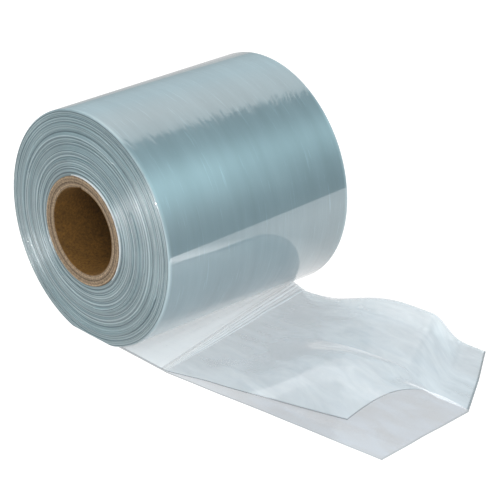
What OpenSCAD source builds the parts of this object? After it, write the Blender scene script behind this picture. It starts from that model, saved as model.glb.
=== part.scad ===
// Roll of centre-folded shrink film on a paper core, lying with its free end drawn out.
// Millimetres. X is the roll's axis, the free end runs out along -Y, and Z is up.
// The origin is on the surface that the roll lies on, under the middle of the film's width.

/* [Paper core] */
// Bore of the paper tube
core_bore = 76.2; // [50:0.1:110]
// Wall of the paper tube
core_wall = 10.4; // [3:0.1:16]
// How far each end of the tube stands out of the innermost turns
core_proud = 1.5; // [0:0.1:6]
// Chamfer on the cut ends of the tube
core_chamfer = 0.6; // [0.2:0.1:1.2]

/* [Wound film] */
// Width of the folded film
web_w = 203.2; // [150:0.1:300]
// Outer diameter of the wound film
roll_d = 209.2; // [185:0.1:300]
// How far the innermost turns have slid out at the near end
telescope = 6; // [0:0.1:12]
// Bands of turns that show as rings on each end
band_count = 14; // [6:1:24]
// How far single bands stand in or out of the rest
band_jitter = 0.7; // [0:0.1:1.5]
// Radius of the soft outer edge
edge_r = 1.6; // [0.5:0.1:3]
// How far the soft roll has settled on its flat spot
settle = 4.2; // [2:0.1:6]

/* [Drawn-out end] */
// Thickness of one ply of film
ply_t = 0.8; // [0.4:0.1:1.5]
// Air between the two plies where they lie together
ply_gap = 0.3; // [0.2:0.1:1]
// Length of the drawn-out film along its open side
tail_len = 294; // [260:1:360]
// How much less of it lies on the folded side
fold_short = 63; // [50:1:75]
// Distance from the roll to the crease along the open side
crease_out = 67; // [55:1:90]
// Angle that the crease makes with the roll, in degrees
crease_skew = 10; // [6:0.5:12]
// Angle that the film's open side turns at the crease, in degrees
tail_turn = 7.6; // [2:0.1:12]
// Angle that its folded side turns less than that, in degrees
fold_toe = 1.4; // [0:0.1:2]
// Height of the gathers that fan out along the crease
crease_h = 3; // [0:0.5:6]
// How far the crease draws the fold in
fold_pinch = 7; // [0:0.5:12]
// Lift of the fold off the surface
fold_lift = 8; // [0:0.5:14]
// How far the bend in the cut end stands out
end_bend = 26; // [10:1:40]

/* [Open mouth] */
// How much shorter the upper ply lies along its free edge
open_back = 57; // [30:1:80]
// Extra angle that the upper ply's free edge turns in, in degrees
open_turn = 10.8; // [5:0.1:16]
// Height of the billow beside the fold
billow_h = 27; // [10:1:40]
// Height of the open mouth
mouth_h = 24; // [10:1:40]

/* [Hidden] */
$fn = 72;
turn_fn = 72;
edge_steps = 3;
core_r = core_bore / 2 + core_wall;
core_len = web_w + 2 * core_proud;
roll_r = roll_d / 2;
axis_z = roll_r - settle;
flat_half = sqrt(pow(roll_r, 2) - pow(axis_z, 2));
band_w = (roll_r - edge_r - core_r) / band_count;
band_slope = band_w / 4;
golden_angle = 137.5;
first_angle = 40;

// Where the near end face of each band stands, from the core outwards
function slide(i) = telescope * (1 - i / (band_count - 1));
function jitter(i) = i == band_count - 1 ? 0 : band_jitter * sin(i * golden_angle + first_angle);
function band_r(i) = core_r + band_w * i;

// One end of the wound film: a ring for each band, stepped from the next by a short slope
function end_rings(side) = [
    for (i = [0:band_count - 1], k = [0, 1])
        [k == 0 ? band_r(i) + (i == 0 ? 0 : band_slope) : band_r(i + 1),
         side * web_w / 2 - slide(i) + side * jitter(i)]];

// The soft outer edge of that end, a quarter circle
function end_edge(side) = [
    for (k = [1:edge_steps])
        [roll_r - edge_r + edge_r * sin(90 * k / edge_steps),
         side * (web_w / 2 - edge_r + edge_r * cos(90 * k / edge_steps))]];

function backwards(list) = [for (i = [len(list) - 1:-1:0]) list[i]];

// Free end: distances are taken along its two long edges from the front of the flat spot.
// It starts inside the last turn, and its open side has drawn in a little.
tuck = 3;
open_drawn_in = 3;
fold_drawn_in = 0.6;
x_open = -web_w / 2 + open_drawn_in;
x_fold = web_w / 2 - fold_drawn_in;
fold_len = tail_len - fold_short;
crease_in = crease_out - (x_fold - x_open) * tan(crease_skew);

// Rows across the free end, and how far the gathers spread along its two long edges
near_rows = 3;
fan_rows = 6;
far_rows = 14;
across = 14;
fan_open = 5;
fan_fold = 22;

// Shares of the film's width and of its length past the crease where its shape changes
bend_at = 0.54;
crest_at = 0.9;
lift_from = 0.8;
lift_done = 0.5;
billow_up = 0.6;
billow_ends = 0.74;
billow_down = 0.16;
mouth_from = 0.2;
mouth_up = 0.5;
fold_gather = 0.4;

function mix(a, b, t) = a + (b - a) * t;
function clamp01(t) = min(1, max(0, t));
function ease(t) = pow(clamp01(t), 2) * (3 - 2 * clamp01(t));
function heading(angle) = [sin(angle), -cos(angle)];

// Each row of the free end: distance along the open edge, along the fold, and 1 on a gather
rows = concat(
    [for (i = [0:near_rows - 1])
        [mix(-tuck, crease_out - fan_open, i / near_rows),
         mix(-tuck, crease_in - fan_fold, i / near_rows), 0]],
    [for (i = [0:fan_rows])
        [mix(crease_out - fan_open, crease_out, i / fan_rows),
         mix(crease_in - fan_fold, crease_in, i / fan_rows), i % 2]],
    [for (i = [1:far_rows])
        [mix(crease_out, tail_len, i / far_rows), mix(crease_in, fold_len, i / far_rows), 0]]);

// How far a row lies past the crease, from 0 at the crease to 1 at the cut end
function past(row) = clamp01((row[0] - crease_out) / (tail_len - crease_out));

// The two long edges and the bend of the cut end, as seen from above
apex = [x_open, -flat_half - crease_out];
fold_pinched = [x_fold - fold_pinch, -flat_half - crease_in];
function open_edge(row, upper) =
    row[0] <= crease_out ? [x_open, -flat_half - row[0]]
    : apex + (tail_len - crease_out - (upper ? open_back : 0)) * past(row)
        * heading(tail_turn + (upper ? open_turn : 0));
function fold_edge(row) =
    row[1] <= crease_in
        ? mix([x_fold, -flat_half], fold_pinched, max(0, row[1]) / crease_in)
            + [0, max(0, -row[1])]
    : fold_pinched + (row[1] - crease_in) * heading(tail_turn - fold_toe);
cut_row = rows[len(rows) - 1];
cut_dir = fold_edge(cut_row) - open_edge(cut_row, false);
bend_point = mix(open_edge(cut_row, false), fold_edge(cut_row), bend_at)
    + end_bend * [cut_dir[1], -cut_dir[0]] / norm(cut_dir);
function bent(u) = u < bend_at ? u / bend_at : (1 - u) / (1 - bend_at);
function plan(u, row, upper) =
    mix(open_edge(row, upper), fold_edge(row), u)
    + bent(u) * pow(past(row), 2)
        * (bend_point - mix(open_edge(cut_row, upper), fold_edge(cut_row), bend_at));

// Heights of the middle of each ply
function gather(u, row) = row[2] * crease_h * u * (2 - u) * (u == 1 ? fold_gather : 1);
function lower_z(u, row) =
    ply_t / 2 + gather(u, row)
    + fold_lift * ease((u - lift_from) / (1 - lift_from)) * ease(past(row) / lift_done);
function crest(u) =
    u < crest_at ? ease(u / crest_at) : sqrt(1 - pow((u - crest_at) / (1 - crest_at), 2));
function upper_z(u, row) =
    lower_z(u, row) + ply_t + ply_gap
    + billow_h * crest(u) * ease(past(row) / billow_up)
        * (1 - ease((past(row) - billow_ends) / billow_down))
    + mouth_h * sin(180 * clamp01(u / bend_at)) * ease((past(row) - mouth_from) / mouth_up);

// Cross section of a row: round the lower ply from its free edge, the fold and the upper ply.
// Each station holds a point in the middle of the film and the way that is outwards there.
function stations(row) = concat(
    [for (i = [0:across])
        let (u = i / across, p = plan(u, row, false))
        [[p[0], p[1], lower_z(u, row)], [0, 0, -1]]],
    [let (p = plan(1, row, false))
        [[p[0] + (ply_t + ply_gap) / 2, p[1], (lower_z(1, row) + upper_z(1, row)) / 2],
         [1, 0, 0]]],
    [for (i = [across:-1:0])
        let (u = i / across, p = plan(u, row, true))
        [[p[0], p[1], upper_z(u, row)], [0, 0, 1]]]);

module core() {
    color("#8f7a68")
    translate([-web_w / 2 - telescope - core_proud, 0, axis_z])
    rotate([0, 90, 0])
    rotate_extrude($fn = turn_fn)
    polygon([
        [core_bore / 2, core_chamfer],
        [core_bore / 2 + core_chamfer, 0],
        [core_r - core_chamfer, 0],
        [core_r, core_chamfer],
        [core_r, core_len - core_chamfer],
        [core_r - core_chamfer, core_len],
        [core_bore / 2 + core_chamfer, core_len],
        [core_bore / 2, core_len - core_chamfer]]);
}

// The wound turns, cut off flat where the roll lies
module turns() {
    difference() {
        translate([0, 0, axis_z])
        rotate([0, 90, 0])
        rotate_extrude($fn = turn_fn)
        polygon(concat(
            end_rings(-1), end_edge(-1), backwards(end_edge(1)), backwards(end_rings(1))));
        translate([-web_w, -roll_r, -roll_r])
        cube([2 * web_w, 2 * roll_r, roll_r]);
    }
}

// Both plies of the free end and their fold, as one closed sheet
module free_end() {
    sections = [for (row = rows) stations(row)];
    n = len(sections[0]);
    last = len(sections) - 1;
    points = [
        for (section = sections, side = [1, -1], station = section)
            station[0] + side * station[1] * ply_t / 2];
    function at(r, side, s) = (2 * r + side) * n + s;
    outside = [for (r = [0:last - 1], s = [0:n - 2])
        [at(r, 0, s), at(r + 1, 0, s), at(r + 1, 0, s + 1), at(r, 0, s + 1)]];
    inside = [for (r = [0:last - 1], s = [0:n - 2])
        [at(r, 1, s + 1), at(r + 1, 1, s + 1), at(r + 1, 1, s), at(r, 1, s)]];
    edges = [for (r = [0:last - 1], s = [0, n - 1])
        let (quad = [at(r, 0, s), at(r, 1, s), at(r + 1, 1, s), at(r + 1, 0, s)])
        s == 0 ? quad : backwards(quad)];
    ends = [for (r = [0, last], s = [0:n - 2])
        let (quad = [at(r, 0, s), at(r, 0, s + 1), at(r, 1, s + 1), at(r, 1, s)])
        r == 0 ? quad : backwards(quad)];
    quads = concat(outside, inside, edges, ends);
    polyhedron(
        points = points,
        faces = [for (q = quads, k = [1, 2]) [q[0], q[k], q[k + 1]]],
        convexity = 8);
}

module film_turns() {
    color("#b4c6cc")
    turns();
}

// The free end goes on into the turns, so it is cut off along the face where it leaves them
module film_free_end() {
    color("#b4c6cc")
    difference() {
        free_end();
        turns();
    }
}

core();
film_turns();
film_free_end();
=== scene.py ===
import math
import random

import bpy
from mathutils import Matrix, Vector, noise


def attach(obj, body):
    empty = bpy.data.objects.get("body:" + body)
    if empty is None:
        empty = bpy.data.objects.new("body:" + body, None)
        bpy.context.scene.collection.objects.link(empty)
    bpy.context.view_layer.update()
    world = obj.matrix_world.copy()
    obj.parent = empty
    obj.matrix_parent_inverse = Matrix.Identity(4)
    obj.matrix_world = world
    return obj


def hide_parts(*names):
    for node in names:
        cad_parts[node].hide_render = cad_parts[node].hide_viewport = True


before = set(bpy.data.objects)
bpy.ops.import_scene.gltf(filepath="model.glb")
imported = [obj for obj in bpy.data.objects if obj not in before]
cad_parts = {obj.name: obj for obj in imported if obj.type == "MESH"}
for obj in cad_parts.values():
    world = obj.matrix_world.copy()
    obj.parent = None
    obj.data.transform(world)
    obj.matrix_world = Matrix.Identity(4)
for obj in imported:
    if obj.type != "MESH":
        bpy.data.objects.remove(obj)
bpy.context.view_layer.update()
scene = bpy.context.scene
scene.view_settings.view_transform = "Standard"


# Camera. It stands to the near left of the roll, 25 degrees up, at the photograph's viewing
# angle, with the long lens that the roll's end circles gave.
camera_data = bpy.data.cameras.new("camera")
camera_data.sensor_width = 36
camera_data.lens = 188.5
camera = bpy.data.objects.new("camera", camera_data)
scene.collection.objects.link(camera)
camera_right = Vector((0.74291, -0.66939, 0.0))
camera_up = Vector((0.28300, 0.31409, 0.90623))
camera_back = Vector((-0.60662, -0.67325, 0.42278))
camera.matrix_world = Matrix.Translation((-1.3452, -1.5837, 1.0184)) @ Matrix(
    (camera_right, camera_up, camera_back)).transposed().to_4x4()
scene.camera = camera


# Studio. A white floor and a white surround, four soft lamps, and in front of the roll a dim
# wall with one soft window, which only gloss can see: it is what bands the film's sheen.
def linear(hex_colour, alpha=1.0):
    """An sRGB hex colour as the linear RGBA that Blender's sockets take."""
    parts = [int(hex_colour[i:i + 2], 16) / 255 for i in (1, 3, 5)]
    return (*[p / 12.92 if p <= 0.04045 else ((p + 0.055) / 1.055) ** 2.4 for p in parts], alpha)


def add_node(tree, kind, settings=None, links=None):
    """Adds a node, sets its properties and input values, and links sockets to its inputs."""
    node = tree.nodes.new(kind)
    for key, value in (settings or {}).items():
        if isinstance(key, str) and hasattr(node, key):
            setattr(node, key, value)
        else:
            node.inputs[key].default_value = value
    for key, socket in (links or {}).items():
        tree.links.new(socket, node.inputs[key])
    return node


def new_material(name):
    """An empty node material with its output node."""
    material = bpy.data.materials.new(name)
    material.use_nodes = True
    material.node_tree.nodes.clear()
    output = material.node_tree.nodes.new("ShaderNodeOutputMaterial")
    return material, material.node_tree, output


def deselect_all():
    """Operators act on all that is selected, so every new piece starts from nothing."""
    if bpy.context.mode != "OBJECT":
        bpy.ops.object.mode_set(mode="OBJECT")
    bpy.ops.object.select_all(action="DESELECT")


def clamp01(t):
    return min(1.0, max(0.0, t))


def ease(t):
    return clamp01(t) ** 2 * (3 - 2 * clamp01(t))


# The surround is plain white to the camera. Gloss sees it dim and cool at the horizon and
# brighter and warmer overhead, and everything else gets an even fill from it.
world = bpy.data.worlds.new("studio_white")
scene.world = world
world.use_nodes = True
world.node_tree.nodes.clear()
sky = world.node_tree
path = add_node(sky, "ShaderNodeLightPath")
seen = add_node(sky, "ShaderNodeMath", {"operation": "MAXIMUM"},
                {0: path.outputs["Is Camera Ray"], 1: path.outputs["Is Glossy Ray"]})
seen = add_node(sky, "ShaderNodeMath", {"operation": "MAXIMUM"},
                {0: seen.outputs[0], 1: path.outputs["Is Transmission Ray"]})
fill = add_node(sky, "ShaderNodeBackground", {"Color": linear("#ffffff"), "Strength": 0.74})
spot = add_node(sky, "ShaderNodeTexCoord")
upward = add_node(sky, "ShaderNodeSeparateXYZ", None, {0: spot.outputs["Generated"]})
rise = add_node(sky, "ShaderNodeMapRange", {"From Max": 0.75, "To Min": 0.56, "To Max": 1.85},
                {0: upward.outputs[2]})
overhead = add_node(sky, "ShaderNodeMapRange", {"From Min": 0.45, "From Max": 0.75},
                    {0: upward.outputs[2]})
air = add_node(sky, "ShaderNodeMix", {"data_type": "RGBA", 6: linear("#e4f8ff"), 7: linear("#f5f6f5")},
               {0: overhead.outputs[0]})
strength = add_node(sky, "ShaderNodeMix", {"data_type": "FLOAT", 3: 1.0},
                    {0: path.outputs["Is Camera Ray"], 2: rise.outputs[0]})
cool = add_node(sky, "ShaderNodeMix", {"data_type": "RGBA", 7: linear("#ffffff")},
                {0: path.outputs["Is Camera Ray"], 6: air.outputs[2]})
backdrop = add_node(sky, "ShaderNodeBackground", None, {0: cool.outputs[2], 1: strength.outputs[0]})
mixed = add_node(sky, "ShaderNodeMixShader", None,
                 {0: seen.outputs[0], 1: fill.outputs[0], 2: backdrop.outputs[0]})
add_node(sky, "ShaderNodeOutputWorld", None, {0: mixed.outputs[0]})

# The floor is white to the camera and keeps the roll's shadow. What gloss sees of it is
# brightest out in front of the roll, and dimmer close to it, to its far side and behind it.
deselect_all()
bpy.ops.mesh.primitive_plane_add(size=40, location=(0, 0, -0.0004))
floor = bpy.context.object
floor.name = "studio_floor"
floor_paint, tree, output = new_material("studio_floor_white")
path = add_node(tree, "ShaderNodeLightPath")
spot = add_node(tree, "ShaderNodeTexCoord")
place = add_node(tree, "ShaderNodeSeparateXYZ", None, {0: spot.outputs["Object"]})
in_front = add_node(tree, "ShaderNodeMapRange",
                    {"From Min": -0.24, "From Max": -0.05, "To Min": 1.4, "To Max": 0.4},
                    {0: place.outputs[1]})
sideways = add_node(tree, "ShaderNodeMapRange",
                    {"From Min": 0.14, "From Max": 0.06, "To Min": 0.58, "To Max": 2.0},
                    {0: place.outputs[0]})
behind = add_node(tree, "ShaderNodeMapRange",
                  {"From Min": 0.10, "From Max": 0.30, "To Min": 1.0, "To Max": 0.3},
                  {0: place.outputs[1]})
mirrored = add_node(tree, "ShaderNodeMath", {"operation": "MULTIPLY"},
                    {0: in_front.outputs[0], 1: sideways.outputs[0]})
mirrored = add_node(tree, "ShaderNodeMath", {"operation": "MULTIPLY"},
                    {0: mirrored.outputs[0], 1: behind.outputs[0]})
glare = add_node(tree, "ShaderNodeMath", {"operation": "MULTIPLY_ADD", 2: 0.45},
                 {0: mirrored.outputs[0], 1: path.outputs["Is Glossy Ray"]})
glare = add_node(tree, "ShaderNodeMath", {"operation": "MULTIPLY_ADD", 1: 0.55},
                 {0: path.outputs["Is Camera Ray"], 2: glare.outputs[0]})
matt = add_node(tree, "ShaderNodeBsdfDiffuse", {"Color": linear("#747474")})
lit = add_node(tree, "ShaderNodeEmission", {"Color": linear("#ffffff")}, {"Strength": glare.outputs[0]})
both = add_node(tree, "ShaderNodeAddShader", None, {0: matt.outputs[0], 1: lit.outputs[0]})
tree.links.new(both.outputs[0], output.inputs[0])
floor.data.materials.append(floor_paint)


def soft_lamp(name, stand, target, size, watts):
    """A square area lamp that points at the object."""
    data = bpy.data.lights.new(name, "AREA")
    data.shape = "SQUARE"
    data.size = size
    data.energy = watts
    lamp = bpy.data.objects.new(name, data)
    lamp.location = stand
    lamp.rotation_euler = (Vector(target) - Vector(stand)).to_track_quat("-Z", "Y").to_euler()
    scene.collection.objects.link(lamp)
    return lamp


soft_lamp("key_lamp", (-1.6, -1.9, 1.9), (0, -0.1, 0.08), 0.9, 22)
soft_lamp("top_lamp", (-0.7, 1.0, 2.6), (0, -0.1, 0.08), 1.4, 14)
soft_lamp("front_lamp", (0.3, -2.4, 0.45), (0, -0.1, 0.05), 1.0, 22)
# The small lamp off the near end gives the rings there their bright wedges
end_lamp = soft_lamp("end_lamp", (-2.5, -0.38, 0.33), (-0.1, 0, 0.1), 0.25, 80)
end_lamp.visible_diffuse = False

# The wall rises from the floor in front of the roll. Its height on the wall runs with the angle
# at which the roll's side mirrors it, so its bands fall on the roll where they were seen.
ROLL_R, SETTLE = 0.1046, 0.0042
AXIS_Z = ROLL_R - SETTLE
LOW_ANGLE, HIGH_ANGLE = math.radians(-20), math.radians(99)
# How far down the camera looks, seen along the roll's axis
VIEW_DROP = math.radians(32.1)
# How far the wall's foot and its upper part stand off the roll, and its middle and half width
WALL_NEAR, WALL_FAR = 0.325, 1.225
WALL_MID_X, WALL_HALF = 0.85, 1.15
deselect_all()
bpy.ops.mesh.primitive_grid_add(x_subdivisions=40, y_subdivisions=60, size=2)
wall = bpy.context.object
wall.name = "studio_wall"
for vertex in wall.data.vertices:
    across, up = vertex.co.x, (vertex.co.y + 1) / 2
    angle = LOW_ANGLE + (HIGH_ANGLE - LOW_ANGLE) * up
    facing = (angle + VIEW_DROP) / 2
    reach = WALL_NEAR + (WALL_FAR - WALL_NEAR) * ease(up / 0.45)
    vertex.co = (WALL_MID_X + WALL_HALF * across,
                 -ROLL_R * math.cos(facing) - reach * math.cos(angle),
                 AXIS_Z + ROLL_R * math.sin(facing) + reach * math.sin(angle))
wall.data.update()
wall_light, tree, output = new_material("studio_wall_light")
spot = add_node(tree, "ShaderNodeTexCoord")
spread = add_node(tree, "ShaderNodeSeparateXYZ", None, {0: spot.outputs["UV"]})
bands = add_node(tree, "ShaderNodeValToRGB", None, {0: spread.outputs[1]})
ramp = bands.color_ramp
ramp.interpolation = "B_SPLINE"
for height, grey in ((0.0, 0.02), (1.0, 0.12), (0.094, 0.03), (0.226, 0.12), (0.358, 0.46),
                     (0.508, 0.92), (0.62, 0.70), (0.734, 0.26), (0.875, 0.12)):
    stop = ramp.elements[round(height)] if height in (0.0, 1.0) else ramp.elements.new(height)
    stop.position = height
    stop.color = (0.60 * grey, 0.93 * grey, grey, 1)
fade = add_node(tree, "ShaderNodeMapRange",
                {"From Min": 0.44, "From Max": 0.60, "To Min": 3.0, "To Max": 1.9}, {0: spread.outputs[0]})
glow = add_node(tree, "ShaderNodeEmission", None, {"Color": bands.outputs[0], "Strength": fade.outputs[0]})
# Its top edge is ragged: 240 teeth across its width, cut out of it by a mask
teeth = add_node(tree, "ShaderNodeTexNoise",
                 {"noise_dimensions": "1D", "Scale": 240, "Detail": 2, "Roughness": 0.6},
                 {"W": spread.outputs[0]})
ragged = add_node(tree, "ShaderNodeMath", {"operation": "MULTIPLY_ADD", 1: 0.32},
                  {0: teeth.outputs[0], 2: spread.outputs[1]})
ragged = add_node(tree, "ShaderNodeMath", {"operation": "GREATER_THAN", 1: 1.10}, {0: ragged.outputs[0]})
nothing = add_node(tree, "ShaderNodeBsdfTransparent")
cut_out = add_node(tree, "ShaderNodeMixShader", None,
                   {0: ragged.outputs[0], 1: glow.outputs[0], 2: nothing.outputs[0]})
tree.links.new(cut_out.outputs[0], output.inputs[0])
wall.data.materials.append(wall_light)
wall.visible_camera = wall.visible_diffuse = wall.visible_transmission = wall.visible_shadow = False


# Core. A spirally wound kraft tube, cut square at both ends, that the film is wound on. It
# stands a little proud of the innermost turns, and its cut plies show as fine rings.
CORE_BORE_R, CORE_R, WEB_W = 0.0381, 0.0485, 0.2032
TELESCOPE, CORE_PROUD, CORE_CHAMFER = 0.006, 0.0015, 0.0006
CORE_NEAR_X = -WEB_W / 2 - TELESCOPE - CORE_PROUD
CORE_FAR_X = WEB_W / 2 - TELESCOPE + CORE_PROUD


def select_faces(piece, wanted):
    """In edit mode afterwards, with only the faces selected for which wanted(face) holds."""
    deselect_all()
    piece.select_set(True)
    bpy.context.view_layer.objects.active = piece
    for vertex in piece.data.vertices:
        vertex.select = False
    for edge in piece.data.edges:
        edge.select = False
    for face in piece.data.polygons:
        face.select = wanted(face)
    bpy.ops.object.mode_set(mode="EDIT")
    bpy.ops.mesh.select_mode(type="FACE")


def ringed_tube(name, near_x, far_x, outer_r, vertices, near_rings, far_rings):
    """A tube along X. Each end is stepped inwards by (width, outward step) rings, and the last
    rings of both ends are bridged to make the bore."""
    deselect_all()
    bpy.ops.mesh.primitive_cylinder_add(
        vertices=vertices, radius=outer_r, depth=far_x - near_x, end_fill_type="NGON",
        location=((near_x + far_x) / 2, 0, AXIS_Z), rotation=(0, math.pi / 2, 0))
    piece = bpy.context.object
    piece.name = name
    bpy.ops.object.transform_apply(location=True, rotation=True, scale=True)
    for side, rings in ((-1, near_rings), (1, far_rings)):
        select_faces(piece, lambda face: face.normal.x * side > 0.99)
        for width, step in rings:
            bpy.ops.mesh.inset(thickness=width, depth=step, use_even_offset=True)
        bpy.ops.object.mode_set(mode="OBJECT")
    select_faces(piece, lambda face: len(face.vertices) == vertices)
    bpy.ops.mesh.delete(type="ONLY_FACE")
    bpy.ops.mesh.select_mode(type="EDGE")
    bpy.ops.mesh.select_all(action="DESELECT")
    bpy.ops.mesh.select_non_manifold(extend=False, use_boundary=True, use_wire=False,
                                     use_multi_face=False, use_non_contiguous=False,
                                     use_verts=False)
    bpy.ops.mesh.bridge_edge_loops(number_cuts=3)
    bpy.ops.mesh.select_all(action="SELECT")
    bpy.ops.mesh.normals_make_consistent(inside=False)
    bpy.ops.object.mode_set(mode="OBJECT")
    return piece


def around(point):
    """Distance from the roll's axis and the angle round it, 0 at the back and 90 degrees up."""
    return math.hypot(point.y, point.z - AXIS_Z), math.atan2(point.z - AXIS_Z, point.y)


# Nine plies of board show on the cut, each with a step from the last, between two chamfers
random.seed(7)
ply_steps = [(CORE_CHAMFER, CORE_CHAMFER)]
for ply in range(9):
    ply_steps += [(0.00022, random.uniform(-0.00022, 0.00012)), (0.00082, 0.0)]
ply_steps += [(0.0004, -0.0008)]
core = ringed_tube("paper_core", CORE_NEAR_X + CORE_CHAMFER, CORE_FAR_X - CORE_CHAMFER, CORE_R, 160,
                   ply_steps, ply_steps)
# The cut is fuzzy, and at the near end the inner plies are torn a little at the top of the bore
TEAR_AT, TEAR_HALF = math.radians(85), 0.11
for vertex in core.data.vertices:
    radius, angle = around(vertex.co)
    if radius > CORE_BORE_R + 0.0042 or abs(vertex.co.x) < 0.09:
        continue
    side = -1 if vertex.co.x < 0 else 1
    fuzz = noise.noise(Vector((7 * math.cos(angle), 7 * math.sin(angle), 3 * side)))
    torn = max(0.0, 1 - abs(angle - TEAR_AT) / TEAR_HALF)
    vertex.co.x += side * (0.0003 * fuzz - 0.0016 * torn * (side < 0))
    pull = 1 + (0.006 * fuzz + 0.012 * torn * (side < 0))
    vertex.co.y *= pull
    vertex.co.z = AXIS_Z + (vertex.co.z - AXIS_Z) * pull
core.data.update()
deselect_all()
core.select_set(True)
bpy.context.view_layer.objects.active = core
bpy.ops.object.shade_smooth_by_angle(angle=math.radians(28))

def per_metre(size_mm):
    """The noise scale for marks of a size in millimetres, on coordinates in metres."""
    return 1000 / size_mm


# Brown kraft paper board, dull and fibrous: fibres 2 mm long, blotches of 17 mm, the cut plies
# on the rim drawn 2 mm apart so that they show, and a spiral seam of 110 mm pitch in the bore
SEAM_PITCH = 0.11
kraft, tree, output = new_material("kraft_paper_tube")
spot = add_node(tree, "ShaderNodeTexCoord")
place = add_node(tree, "ShaderNodeSeparateXYZ", None, {0: spot.outputs["Object"]})
level = add_node(tree, "ShaderNodeMath", {"operation": "SUBTRACT", 1: AXIS_Z}, {0: place.outputs[2]})
turn = add_node(tree, "ShaderNodeMath", {"operation": "ARCTAN2"},
                {0: level.outputs[0], 1: place.outputs[1]})
lap = add_node(tree, "ShaderNodeMath", {"operation": "MULTIPLY_ADD", 1: 1 / (2 * math.pi)},
               {0: turn.outputs[0]})
along = add_node(tree, "ShaderNodeMath", {"operation": "MULTIPLY", 1: 1 / SEAM_PITCH},
                 {0: place.outputs[0]})
tree.links.new(along.outputs[0], lap.inputs[2])
lap = add_node(tree, "ShaderNodeMath", {"operation": "FRACT"}, {0: lap.outputs[0]})
seam = add_node(tree, "ShaderNodeMapRange", {"From Min": 0.0, "From Max": 0.02}, {0: lap.outputs[0]})
depth = add_node(tree, "ShaderNodeCombineXYZ", None, {1: place.outputs[1], 2: level.outputs[0]})
radius = add_node(tree, "ShaderNodeVectorMath", {"operation": "LENGTH"}, {0: depth.outputs[0]})
rim = add_node(tree, "ShaderNodeMapRange",
               {"From Min": CORE_BORE_R + 0.0003, "From Max": CORE_BORE_R + 0.0016},
               {0: radius.outputs["Value"]})
grain = add_node(tree, "ShaderNodeTexNoise", {"Scale": per_metre(2.083), "Detail": 6, "Roughness": 0.75},
                 {"Vector": spot.outputs["Object"]})
blotch = add_node(tree, "ShaderNodeTexNoise", {"Scale": per_metre(16.67), "Detail": 4},
                  {"Vector": spot.outputs["Object"]})
plies = add_node(tree, "ShaderNodeTexNoise",
                 {"noise_dimensions": "1D", "Scale": per_metre(1.923), "Detail": 3, "Roughness": 0.7},
                 {"W": radius.outputs["Value"]})
cut_plies = add_node(tree, "ShaderNodeMapRange", {"From Min": 0.36, "From Max": 0.62}, {0: plies.outputs[0]})
# The bore's dark, saturated brown is partly the kraft's own colour and partly painted shade inside the tube
bore_tone_and_shade = add_node(tree, "ShaderNodeMix",
                     {"data_type": "RGBA", 6: linear("#543a12"), 7: linear("#7b5620")},
                     {0: blotch.outputs[0]})
cut_tone = add_node(tree, "ShaderNodeMix",
                    {"data_type": "RGBA", 6: linear("#46382a"), 7: linear("#b39c80")},
                    {0: cut_plies.outputs[0]})
tone = add_node(tree, "ShaderNodeMix", {"data_type": "RGBA"},
                {0: rim.outputs[0], 6: bore_tone_and_shade.outputs[2], 7: cut_tone.outputs[2]})
fibre = add_node(tree, "ShaderNodeMapRange",
                 {"From Min": 0.3, "From Max": 0.7, "To Min": 0.4, "To Max": 1.6},
                 {0: grain.outputs[0]})
tone = add_node(tree, "ShaderNodeMix", {"data_type": "RGBA", "blend_type": "MULTIPLY", 0: 1.0},
                {6: tone.outputs[2], 7: fibre.outputs[0]})
heights = add_node(tree, "ShaderNodeMath", {"operation": "MULTIPLY_ADD", 1: 0.6},
                   {0: grain.outputs[0], 2: seam.outputs[0]})
relief = add_node(tree, "ShaderNodeBump", {"Strength": 0.5, "Distance": 0.0004},
                  {"Height": heights.outputs[0]})
paper = add_node(tree, "ShaderNodeBsdfPrincipled", {"Roughness": 0.82, "Specular IOR Level": 0.25},
                 {"Base Color": tone.outputs[2], "Normal": relief.outputs[0]})
tree.links.new(paper.outputs[0], output.inputs[0])
core.data.materials.append(kraft)
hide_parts("core")
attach(core, "root")


# Wound film. Some hundreds of metres of clear shrink film, wound tight on the core: the turns
# together look like pale blue glass, and their cut edges show as uneven rings on both ends.
BAND_COUNT, BAND_JITTER, EDGE_R = 14, 0.00022, 0.0016
FLAT_HALF = math.sqrt(ROLL_R ** 2 - AXIS_Z ** 2)


def end_height(side, radius):
    """How far the film's end stands out from its full width at a radius, in metres."""
    share = min(1.0, max(0.0, (radius - CORE_R) / (ROLL_R - EDGE_R - CORE_R)))
    jitter = BAND_JITTER * math.sin(math.radians(share * BAND_COUNT * 137.5 + 40)) * (share < 0.93)
    return -side * TELESCOPE * (1 - share) + jitter


def film_rings(side, seed):
    """The soft outer edge, then rings of uneven width down to the core."""
    dice = random.Random(seed)
    rings, edge_steps = [], 5
    for k in range(edge_steps):
        a, b = (math.pi / 2 * n / edge_steps for n in (k, k + 1))
        rings.append((EDGE_R * (math.cos(a) - math.cos(b)), EDGE_R * (math.sin(b) - math.sin(a))))
    radius, height = ROLL_R - EDGE_R, 0.0
    while radius - CORE_R > 0.0022:
        width = dice.uniform(0.0007, 0.0019)
        target = end_height(side, radius - width / 2) + dice.uniform(-0.0003, 0.0003)
        if radius > ROLL_R - EDGE_R - 0.002:
            target = 0.0
        rings += [(0.22 * width, target - height), (0.78 * width, 0.0)]
        radius, height = radius - width, target
    rings.append((radius - CORE_R - 0.0001, 0.0))
    return rings


turns = ringed_tube("wound_film", -WEB_W / 2 + EDGE_R, WEB_W / 2 - EDGE_R, ROLL_R, 256,
                    film_rings(-1, 3), film_rings(1, 8))
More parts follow.
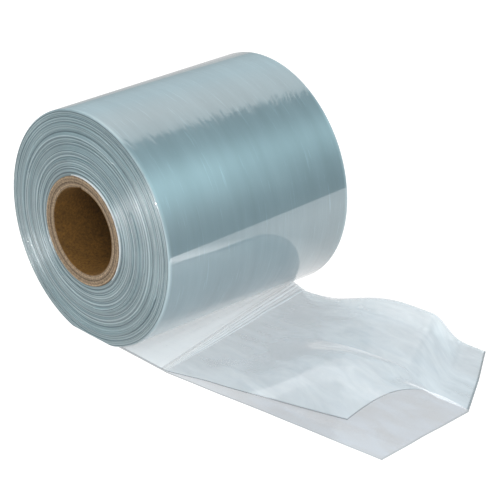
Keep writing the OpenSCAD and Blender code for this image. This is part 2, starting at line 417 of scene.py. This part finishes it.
# Turns that slipped together for part of the way round: radius, half width, from and to in
# degrees, and how far they stand out
slipped = ((0.071, 0.0013, 150, 262, 0.0009), (0.083, 0.0011, 20, 118, 0.0008),
           (0.093, 0.0009, 200, 330, 0.0008), (0.062, 0.0010, -60, 70, 0.0007),
           (0.0885, 0.0006, 300, 400, -0.0008), (0.0765, 0.0007, 80, 190, -0.0007))
for vertex in turns.data.vertices:
    radius, angle = around(vertex.co)
    if abs(vertex.co.x) > 0.09 and radius < ROLL_R - 0.003:
        side = -1 if vertex.co.x < 0 else 1
        wave = noise.noise(Vector((1.6 * math.cos(angle), 1.6 * math.sin(angle), 160 * radius + 9 * side)))
        vertex.co.x += side * 0.0006 * wave
        if radius > CORE_R + 0.002:
            for ring, half, start, stop, rise in slipped:
                turned = (math.degrees(angle) - start) % 360
                if abs(radius - ring) < half and turned < stop - start:
                    vertex.co.x += side * rise
    if vertex.co.z < 0:
        vertex.co.z = 0
turns.data.update()
deselect_all()
turns.select_set(True)
bpy.context.view_layer.objects.active = turns
bpy.ops.object.shade_smooth_by_angle(angle=math.radians(35))

# Clear film in depth: blue-grey, hard gloss on top, with faint streaks along its winding, 2.4 mm
# wide on soft bands of 16 mm. Near the ends the side is painted paler, in patches: a painted highlight.
wound, tree, output = new_material("clear_film_wound")
spot = add_node(tree, "ShaderNodeTexCoord")
streak_map = add_node(tree, "ShaderNodeMapping",
                      {"Scale": (per_metre(2.381), per_metre(41.67), per_metre(41.67)),
                       "Rotation": (0, 0, 0.05)}, {0: spot.outputs["Object"]})
streaks = add_node(tree, "ShaderNodeTexNoise", {"Scale": 1.0, "Detail": 4, "Roughness": 0.6},
                   {"Vector": streak_map.outputs[0]})
soft_map = add_node(tree, "ShaderNodeMapping",
                    {"Scale": (per_metre(15.625), per_metre(125), per_metre(125)),
                     "Rotation": (0, 0, 0.03)}, {0: spot.outputs["Object"]})
soft = add_node(tree, "ShaderNodeTexNoise", {"Scale": 1.0, "Detail": 3}, {"Vector": soft_map.outputs[0]})
depths = add_node(tree, "ShaderNodeMath", {"operation": "MULTIPLY_ADD", 1: 0.18},
                  {0: streaks.outputs[0], 2: soft.outputs[0]})
body_tone = add_node(tree, "ShaderNodeMix",
                     {"data_type": "RGBA", 6: linear("#5f747b"), 7: linear("#788f97")},
                     {0: soft.outputs[0]})
thin = add_node(tree, "ShaderNodeMapRange", {"From Min": 0.6, "From Max": 0.8}, {0: streaks.outputs[0]})
body_tone = add_node(tree, "ShaderNodeMix", {"data_type": "RGBA", 7: linear("#809aa3")},
                     {0: thin.outputs[0], 6: body_tone.outputs[2]})
place = add_node(tree, "ShaderNodeSeparateXYZ", None, {0: spot.outputs["Object"]})
outward = add_node(tree, "ShaderNodeMath", {"operation": "ABSOLUTE"}, {0: place.outputs[0]})
# Painted highlight: over the last few millimetres to each end the side is painted paler, in patches
edge_painted_highlight = add_node(tree, "ShaderNodeMapRange", {"From Min": 0.0975, "From Max": 0.1012},
                  {0: outward.outputs[0]})
highlight_patches = add_node(tree, "ShaderNodeTexNoise", {"Scale": per_metre(58.82), "Detail": 2},
                    {"Vector": spot.outputs["Object"]})
highlight_patches = add_node(tree, "ShaderNodeMapRange",
                    {"From Min": 0.36, "From Max": 0.62, "To Min": 0.2, "To Max": 1.0},
                    {0: highlight_patches.outputs[0]})
edge_painted_highlight = add_node(tree, "ShaderNodeMath", {"operation": "MULTIPLY"},
                  {0: edge_painted_highlight.outputs[0], 1: highlight_patches.outputs[0]})
body_tone = add_node(tree, "ShaderNodeMix", {"data_type": "RGBA", 7: linear("#96adb4")},
                     {0: edge_painted_highlight.outputs[0], 6: body_tone.outputs[2]})
gloss = add_node(tree, "ShaderNodeMapRange",
                 {"From Min": 0.0996, "From Max": 0.1014, "To Min": 1.0, "To Max": 0.25},
                 {0: outward.outputs[0]})
ripple = add_node(tree, "ShaderNodeBump", {"Strength": 0.42, "Distance": 0.0015},
                  {"Height": depths.outputs[0]})
glass = add_node(tree, "ShaderNodeBsdfPrincipled",
                 {"Roughness": 0.34, "IOR": 1.5, "Coat IOR": 1.8, "Coat Roughness": 0.03},
                 {"Base Color": body_tone.outputs[2], "Normal": ripple.outputs[0],
                  "Coat Weight": gloss.outputs[0]})
tree.links.new(glass.outputs[0], output.inputs[0])
turns.data.materials.append(wound)

# The cut edges of the turns, pressed together: glossy rings of many heights and greys. Real
# turns are too fine to show, so the rings are drawn 0.6 and 1.6 mm apart. Their grooves spread
# the light across them, which makes the bright wedges on both sides of the core.
edges, tree, output = new_material("cut_film_edges")
spot = add_node(tree, "ShaderNodeTexCoord")
place = add_node(tree, "ShaderNodeSeparateXYZ", None, {0: spot.outputs["Object"]})
level = add_node(tree, "ShaderNodeMath", {"operation": "SUBTRACT", 1: AXIS_Z}, {0: place.outputs[2]})
flat_place = add_node(tree, "ShaderNodeCombineXYZ", None, {1: place.outputs[1], 2: level.outputs[0]})
radius = add_node(tree, "ShaderNodeVectorMath", {"operation": "LENGTH"}, {0: flat_place.outputs[0]})
sway = add_node(tree, "ShaderNodeTexNoise", {"Scale": per_metre(111.1), "Detail": 1},
                {"Vector": spot.outputs["Object"]})
swayed = add_node(tree, "ShaderNodeMath", {"operation": "MULTIPLY_ADD", 1: 0.0016},
                  {0: sway.outputs[0], 2: radius.outputs["Value"]})
fine = add_node(tree, "ShaderNodeTexNoise",
                {"noise_dimensions": "1D", "Scale": per_metre(0.625), "Detail": 4, "Roughness": 0.6},
                {"W": swayed.outputs[0]})
broad = add_node(tree, "ShaderNodeTexNoise",
                 {"noise_dimensions": "1D", "Scale": per_metre(1.5625), "Detail": 2, "Roughness": 0.7},
                 {"W": swayed.outputs[0]})
patch = add_node(tree, "ShaderNodeTexNoise", {"Scale": per_metre(45.45), "Detail": 2},
                 {"Vector": spot.outputs["Object"]})
ring_height = add_node(tree, "ShaderNodeMath", {"operation": "MULTIPLY_ADD", 1: 0.5},
                       {0: fine.outputs[0], 2: broad.outputs[0]})
ring_grey = add_node(tree, "ShaderNodeValToRGB", None, {0: broad.outputs[0]})
greys = ring_grey.color_ramp
for share, grey in ((0.36, "#4e6870"), (0.64, "#acc1c6"), (0.45, "#6d868d"), (0.54, "#80999f")):
    stop = greys.elements[round(share)] if share in (0.36, 0.64) else greys.elements.new(share)
    stop.position, stop.color = share, linear(grey)
patch_tone = add_node(tree, "ShaderNodeMapRange",
                      {"From Min": 0.3, "From Max": 0.7, "To Min": 0.86, "To Max": 1.1},
                      {0: patch.outputs[0]})
edge_tone = add_node(tree, "ShaderNodeMix", {"data_type": "RGBA", "blend_type": "MULTIPLY", 0: 1.0},
                     {6: ring_grey.outputs[0], 7: patch_tone.outputs[0]})
ring_bump = add_node(tree, "ShaderNodeBump", {"Strength": 0.9, "Distance": 0.0011},
                     {"Height": ring_height.outputs[0]})
grooves = add_node(tree, "ShaderNodeTangent", {"direction_type": "RADIAL", "axis": "X"})
shine = add_node(tree, "ShaderNodeBsdfPrincipled",
                 {"Roughness": 0.42, "Anisotropic": 0.93, "Anisotropic Rotation": 0.25, "IOR": 1.7,
                  "Coat Weight": 0.3, "Coat Roughness": 0.1},
                 {"Base Color": edge_tone.outputs[2], "Normal": ring_bump.outputs[0],
                  "Coat Normal": ring_bump.outputs[0], "Tangent": grooves.outputs[0]})
tree.links.new(shine.outputs[0], output.inputs[0])
turns.data.materials.append(edges)
for face in turns.data.polygons:
    face.material_index = 1 if around(face.center)[0] < ROLL_R - EDGE_R * 0.6 else 0
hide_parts("film_turns")
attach(turns, "root")


# Innermost turns. The first film on the core stands out past the rest for part of the way
# round, as a thin bright lip beside the paper.

# Where the lip starts and ends, in degrees round the core, and over how many it rises and falls
LIP_FROM, LIP_TO = 58, 252
LIP_RISE, LIP_FALL = 30, 60
LIP_OUT, LIP_THICK = 0.0022, 0.0008


def apply_modifiers(piece):
    """Applies every modifier of a piece, in order."""
    deselect_all()
    piece.select_set(True)
    bpy.context.view_layer.objects.active = piece
    for modifier in list(piece.modifiers):
        bpy.ops.object.modifier_apply(modifier=modifier.name)


deselect_all()
bpy.ops.mesh.primitive_cylinder_add(
    vertices=240, radius=CORE_R + 0.0004, depth=0.004, end_fill_type="NOTHING",
    location=(CORE_NEAR_X + 0.0026, 0, AXIS_Z), rotation=(0, math.pi / 2, 0))
first_turns = bpy.context.object
first_turns.name = "innermost_turns"
bpy.ops.object.transform_apply(location=True, rotation=True, scale=True)
select_faces(first_turns,
             lambda face: not LIP_FROM < math.degrees(around(face.center)[1]) % 360 < LIP_TO)
bpy.ops.mesh.delete(type="FACE")
bpy.ops.object.mode_set(mode="OBJECT")
for vertex in first_turns.data.vertices:
    radius, angle = around(vertex.co)
    if vertex.co.x < CORE_NEAR_X + 0.002:
        turned = math.degrees(angle) % 360
        out = ease((turned - LIP_FROM) / LIP_RISE) * ease((LIP_TO - turned) / LIP_FALL)
        uneven = noise.noise(Vector((9 * angle, 1, 1)))
        vertex.co.x += LIP_OUT * (1 - out) + 0.0002 * uneven
first_turns.data.update()
thickness = first_turns.modifiers.new("thickness", "SOLIDIFY")
thickness.thickness, thickness.offset = LIP_THICK, 1
apply_modifiers(first_turns)
bpy.ops.object.shade_smooth_by_angle(angle=math.radians(35))

# Clear film seen on its cut edge, painted almost white: a painted highlight for the light that edge gathers
bright, tree, output = new_material("cut_film_lip_painted_highlight")
lip = add_node(tree, "ShaderNodeBsdfPrincipled",
               {"Base Color": linear("#e3eaec"), "Roughness": 0.25, "IOR": 1.5, "Coat Weight": 0.5})
tree.links.new(lip.outputs[0], output.inputs[0])
first_turns.data.materials.append(bright)
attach(first_turns, "root")


# Free end. The last of the film, drawn out flat: it is folded along the middle, so it has two
# plies, joined at the fold. They are creased where they leave the roll and part at the mouth.
PLY_T, PLY_GAP = 0.0008, 0.0003
TAIL_LEN, FOLD_LEN = 0.294, 0.231
CREASE_OUT, CREASE_SKEW = 0.067, math.radians(10)
TAIL_TURN, FOLD_TOE = math.radians(7.6), math.radians(1.4)
OPEN_BACK, OPEN_TURN = 0.057, math.radians(10.8)
OPEN_DRAWN_IN, FOLD_DRAWN_IN, FOLD_PINCH = 0.003, 0.0006, 0.007
X_OPEN, X_FOLD = -WEB_W / 2 + OPEN_DRAWN_IN, WEB_W / 2 - FOLD_DRAWN_IN
CREASE_IN = CREASE_OUT - (X_FOLD - X_OPEN) * math.tan(CREASE_SKEW)
FAN_OPEN, FAN_FOLD, TUCK = 0.005, 0.022, 0.003
BEND_AT, END_BEND = 0.54, 0.026
CREASE_H, FOLD_LIFT, BILLOW_H, MOUTH_H = 0.0022, 0.008, 0.027, 0.024
apex = Vector((X_OPEN, -FLAT_HALF - CREASE_OUT))
fold_pinched = Vector((X_FOLD - FOLD_PINCH, -FLAT_HALF - CREASE_IN))


def heading(angle):
    return Vector((math.sin(angle), -math.cos(angle)))


def open_edge(out, past, upper):
    """The free long edge of a ply at a distance from the roll, as seen from above."""
    if out <= CREASE_OUT:
        return Vector((X_OPEN, -FLAT_HALF - out))
    length = TAIL_LEN - CREASE_OUT - (OPEN_BACK if upper else 0)
    return apex + length * past * heading(TAIL_TURN + (OPEN_TURN if upper else 0))


def fold_edge(out):
    """The folded long edge at a distance from the roll, as seen from above."""
    if out <= CREASE_IN:
        start = Vector((X_FOLD, -FLAT_HALF))
        return start.lerp(fold_pinched, max(0, out) / CREASE_IN) + Vector((0, max(0, -out)))
    return fold_pinched + (out - CREASE_IN) * heading(TAIL_TURN - FOLD_TOE)


cut_dir = fold_edge(FOLD_LEN) - open_edge(TAIL_LEN, 1, False)
bend_point = open_edge(TAIL_LEN, 1, False).lerp(fold_edge(FOLD_LEN), BEND_AT) \
    + END_BEND * Vector((cut_dir.y, -cut_dir.x)).normalized()


def free_end_point(u, row, upper):
    """Where a point of a ply lies. u runs from the open edge to the fold; row from 0 at the
    roll, over 1 and 2 on both sides of the gathers, to 3 at the cut end."""
    if row <= 1:
        out_open = -TUCK + (CREASE_OUT - FAN_OPEN + TUCK) * row
        out_fold = -TUCK + (CREASE_IN - FAN_FOLD + TUCK) * row
    elif row <= 2:
        out_open = CREASE_OUT - FAN_OPEN * (2 - row)
        out_fold = CREASE_IN - FAN_FOLD * (2 - row)
    else:
        out_open = CREASE_OUT + (TAIL_LEN - CREASE_OUT) * (row - 2)
        out_fold = CREASE_IN + (FOLD_LEN - CREASE_IN) * (row - 2)
    past = clamp01((out_open - CREASE_OUT) / (TAIL_LEN - CREASE_OUT))
    flat = open_edge(out_open, past, upper).lerp(fold_edge(out_fold), u)
    bent = u / BEND_AT if u < BEND_AT else (1 - u) / (1 - BEND_AT)
    full = open_edge(TAIL_LEN, 1, upper).lerp(fold_edge(FOLD_LEN), BEND_AT)
    flat = flat + bent * past ** 2 * (bend_point - full)
    gathers = max(0, 1 - abs((row - 1) * 4 % 1 - 0.5) * 4) if 1 < row < 2 else 0
    gathers *= 0.7 + 0.3 * math.sin(9 * row + 3 * u)
    if row <= 1.4:
        gathers += 0.16 * noise.noise(Vector((1.2 * u, 11 * row, 0.5))) * ease(row / 0.3)
    z = PLY_T / 2 + CREASE_H * gathers * u * (2 - u) * (0.4 if u > 0.98 else 1)
    z += FOLD_LIFT * ease((u - 0.8) / 0.2) * ease(past / 0.5)
    if upper:
        crest = ease(u / 0.9) if u < 0.9 else math.sqrt(max(0, 1 - ((u - 0.9) / 0.1) ** 2))
        z += PLY_T + PLY_GAP
        z += BILLOW_H * crest * ease(past / 0.6) * (1 - ease((past - 0.74) / 0.16))
        z += MOUTH_H * math.sin(math.pi * clamp01(u / BEND_AT)) * ease((past - 0.2) / 0.5)
        # A small swelling where the upper ply lifts off the lower one beside the crease
        z += 0.003 * math.exp(-((flat.x + 0.062) / 0.020) ** 2 - ((flat.y + 0.128) / 0.014) ** 2)
    return Vector((flat.x, flat.y, z))


# One grid makes both plies: its middle line is the fold, and its two side edges are the free ones
deselect_all()
bpy.ops.mesh.primitive_grid_add(x_subdivisions=220, y_subdivisions=150, size=2)
free_end = bpy.context.object
free_end.name = "drawn_out_film"
for vertex in free_end.data.vertices:
    s, row = vertex.co.x, (vertex.co.y + 1) * 1.5
    u = 1 - abs(s)
    point = free_end_point(1 - (1 - u) ** 1.15, row, s > 0)
    wrinkle = noise.noise(Vector((point.x * 26, point.y * 12, 4 + s))) * 0.0009
    fine_wrinkle = noise.noise(Vector((point.x * 110, point.y * 30, 9 + s))) * 0.00022
    loose = ease((row - 1.2) / 0.8)
    point.z = max(0.0002, point.z + (wrinkle + fine_wrinkle) * loose)
    vertex.co = point
free_end.data.update()
deselect_all()
free_end.select_set(True)
bpy.context.view_layer.objects.active = free_end
bpy.ops.object.shade_smooth()

# Clear shrink film, a few hundredths of a millimetre thick: pale, glossy and see-through. Its
# UV map has the open edges at 0 and 1 across, the fold at 0.5, and the cut end at 1 along.
clear, tree, output = new_material("clear_film_single")
spot = add_node(tree, "ShaderNodeTexCoord")
sheet_place = add_node(tree, "ShaderNodeSeparateXYZ", None, {0: spot.outputs["UV"]})

# Soft creases of 12 mm, drawn out along the film, that also cloud its colour
crinkle_map = add_node(tree, "ShaderNodeMapping",
                       {"Scale": (per_metre(12.5), per_metre(45.45), per_metre(45.45))},
                       {0: spot.outputs["Object"]})
crinkle = add_node(tree, "ShaderNodeTexNoise",
                   {"Scale": 1.0, "Detail": 5, "Roughness": 0.55, "Distortion": 0.4},
                   {"Vector": crinkle_map.outputs[0]})
crumple = add_node(tree, "ShaderNodeBump", {"Strength": 0.35, "Distance": 0.002},
                   {"Height": crinkle.outputs[0]})
cloud = add_node(tree, "ShaderNodeMapRange", {"From Min": 0.35, "From Max": 0.65}, {0: crinkle.outputs[0]})

# Its open and cut edges, and the crimp marks along the fold
across = add_node(tree, "ShaderNodeMath", {"operation": "SUBTRACT", 1: 0.5}, {0: sheet_place.outputs[0]})
across = add_node(tree, "ShaderNodeMath", {"operation": "ABSOLUTE"}, {0: across.outputs[0]})
free_edge = add_node(tree, "ShaderNodeMapRange", {"From Min": 0.4965, "From Max": 0.4985},
                     {0: across.outputs[0]})
cut_edge = add_node(tree, "ShaderNodeMapRange", {"From Min": 0.9965, "From Max": 0.9985},
                    {0: sheet_place.outputs[1]})
rims = add_node(tree, "ShaderNodeMath", {"operation": "MAXIMUM"},
                {0: free_edge.outputs[0], 1: cut_edge.outputs[0]})
hem_band = add_node(tree, "ShaderNodeMapRange", {"From Min": 0.014, "From Max": 0.008},
                    {0: across.outputs[0]})
puckers = add_node(tree, "ShaderNodeTexNoise", {"noise_dimensions": "1D", "Scale": 90, "Detail": 3},
                   {"W": sheet_place.outputs[1]})
pucker = add_node(tree, "ShaderNodeMapRange", {"From Min": 0.4, "From Max": 0.62}, {0: puckers.outputs[0]})
hem_crimp_highlight = add_node(tree, "ShaderNodeMath", {"operation": "MULTIPLY"},
               {0: hem_band.outputs[0], 1: pucker.outputs[0]})

# The lower ply is a darker copy of the film's colour, painted shade under the upper one; the upper
# ply is a paler, lit copy. Near the roll both are painted palest, painted light against its shade.
lower_ply_painted_shade = add_node(tree, "ShaderNodeMix", {"data_type": "RGBA", 6: linear("#33475a"), 7: linear("#5a748c")},
                 {0: cloud.outputs[0]})
# Painted light: the upper ply is a paler, lit copy of the same film's colour
upper = add_node(tree, "ShaderNodeMix", {"data_type": "RGBA", 6: linear("#b4c6cf"), 7: linear("#d0e0e8")},
                 {0: cloud.outputs[0]})
ply = add_node(tree, "ShaderNodeMapRange", {"From Min": 0.49, "From Max": 0.51}, {0: sheet_place.outputs[0]})
plain = add_node(tree, "ShaderNodeMix", {"data_type": "RGBA"},
                 {0: ply.outputs[0], 6: lower_ply_painted_shade.outputs[2], 7: upper.outputs[2]})
near_roll_painted_light = add_node(tree, "ShaderNodeMapRange", {"From Min": 0.84, "From Max": 0.34},
                {0: sheet_place.outputs[1]})
# Painted light: near the roll both plies are painted almost white, to lift the roll's shade off them
plain = add_node(tree, "ShaderNodeMix", {"data_type": "RGBA", 7: linear("#e6f2f8")},
                 {0: near_roll_painted_light.outputs[0], 6: plain.outputs[2]})

# The gathers of the crease are painted as darker lines that fan out towards the fold: painted shade in the
# creases
fan = add_node(tree, "ShaderNodeTexNoise", {"noise_dimensions": "1D", "Scale": 42, "Detail": 2},
               {"W": sheet_place.outputs[1]})
fan_painted_shade = add_node(tree, "ShaderNodeMapRange", {"From Min": 0.55, "From Max": 0.63}, {0: fan.outputs[0]})
fan_from = add_node(tree, "ShaderNodeMapRange", {"From Min": 0.27, "From Max": 0.36},
                    {0: sheet_place.outputs[1]})
fan_to = add_node(tree, "ShaderNodeMapRange", {"From Min": 0.70, "From Max": 0.63},
                  {0: sheet_place.outputs[1]})
fan_painted_shade = add_node(tree, "ShaderNodeMath", {"operation": "MULTIPLY"},
                    {0: fan_painted_shade.outputs[0], 1: fan_from.outputs[0]})
fan_painted_shade = add_node(tree, "ShaderNodeMath", {"operation": "MULTIPLY"},
                    {0: fan_painted_shade.outputs[0], 1: fan_to.outputs[0]})
plain = add_node(tree, "ShaderNodeMix", {"data_type": "RGBA", 7: linear("#5d6d76")},
                 {0: fan_painted_shade.outputs[0], 6: plain.outputs[2]})
# Painted highlight: the crimp marks along the fold are painted paler, for the light their crinkles catch
hem_painted_highlight = add_node(tree, "ShaderNodeMix", {"data_type": "RGBA", 7: linear("#d9e2e6")},
                  {0: hem_crimp_highlight.outputs[0], 6: plain.outputs[2]})
film_tone = add_node(tree, "ShaderNodeMix", {"data_type": "RGBA", 7: linear("#5e6c73")},
                     {0: rims.outputs[0], 6: hem_painted_highlight.outputs[2]})

# How much of what lies behind it the film covers: least near the roll, most at its edges
cover = add_node(tree, "ShaderNodeMapRange", {"To Min": 0.53, "To Max": 0.44}, {0: ply.outputs[0]})
cover = add_node(tree, "ShaderNodeMix", {"data_type": "FLOAT", 3: 0.35},
                 {0: near_roll_painted_light.outputs[0], 2: cover.outputs[0]})
cover = add_node(tree, "ShaderNodeMix", {"data_type": "FLOAT", 3: 0.68},
                 {0: rims.outputs[0], 2: cover.outputs[0]})
foil = add_node(tree, "ShaderNodeBsdfPrincipled",
                {"Roughness": 0.12, "IOR": 1.5, "Coat Weight": 0.6, "Coat Roughness": 0.05},
                {"Base Color": film_tone.outputs[2], "Normal": crumple.outputs[0],
                 "Alpha": cover.outputs[0]})
tree.links.new(foil.outputs[0], output.inputs[0])
free_end.data.materials.append(clear)
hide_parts("film_free_end")
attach(free_end, "root")


deselect_all()
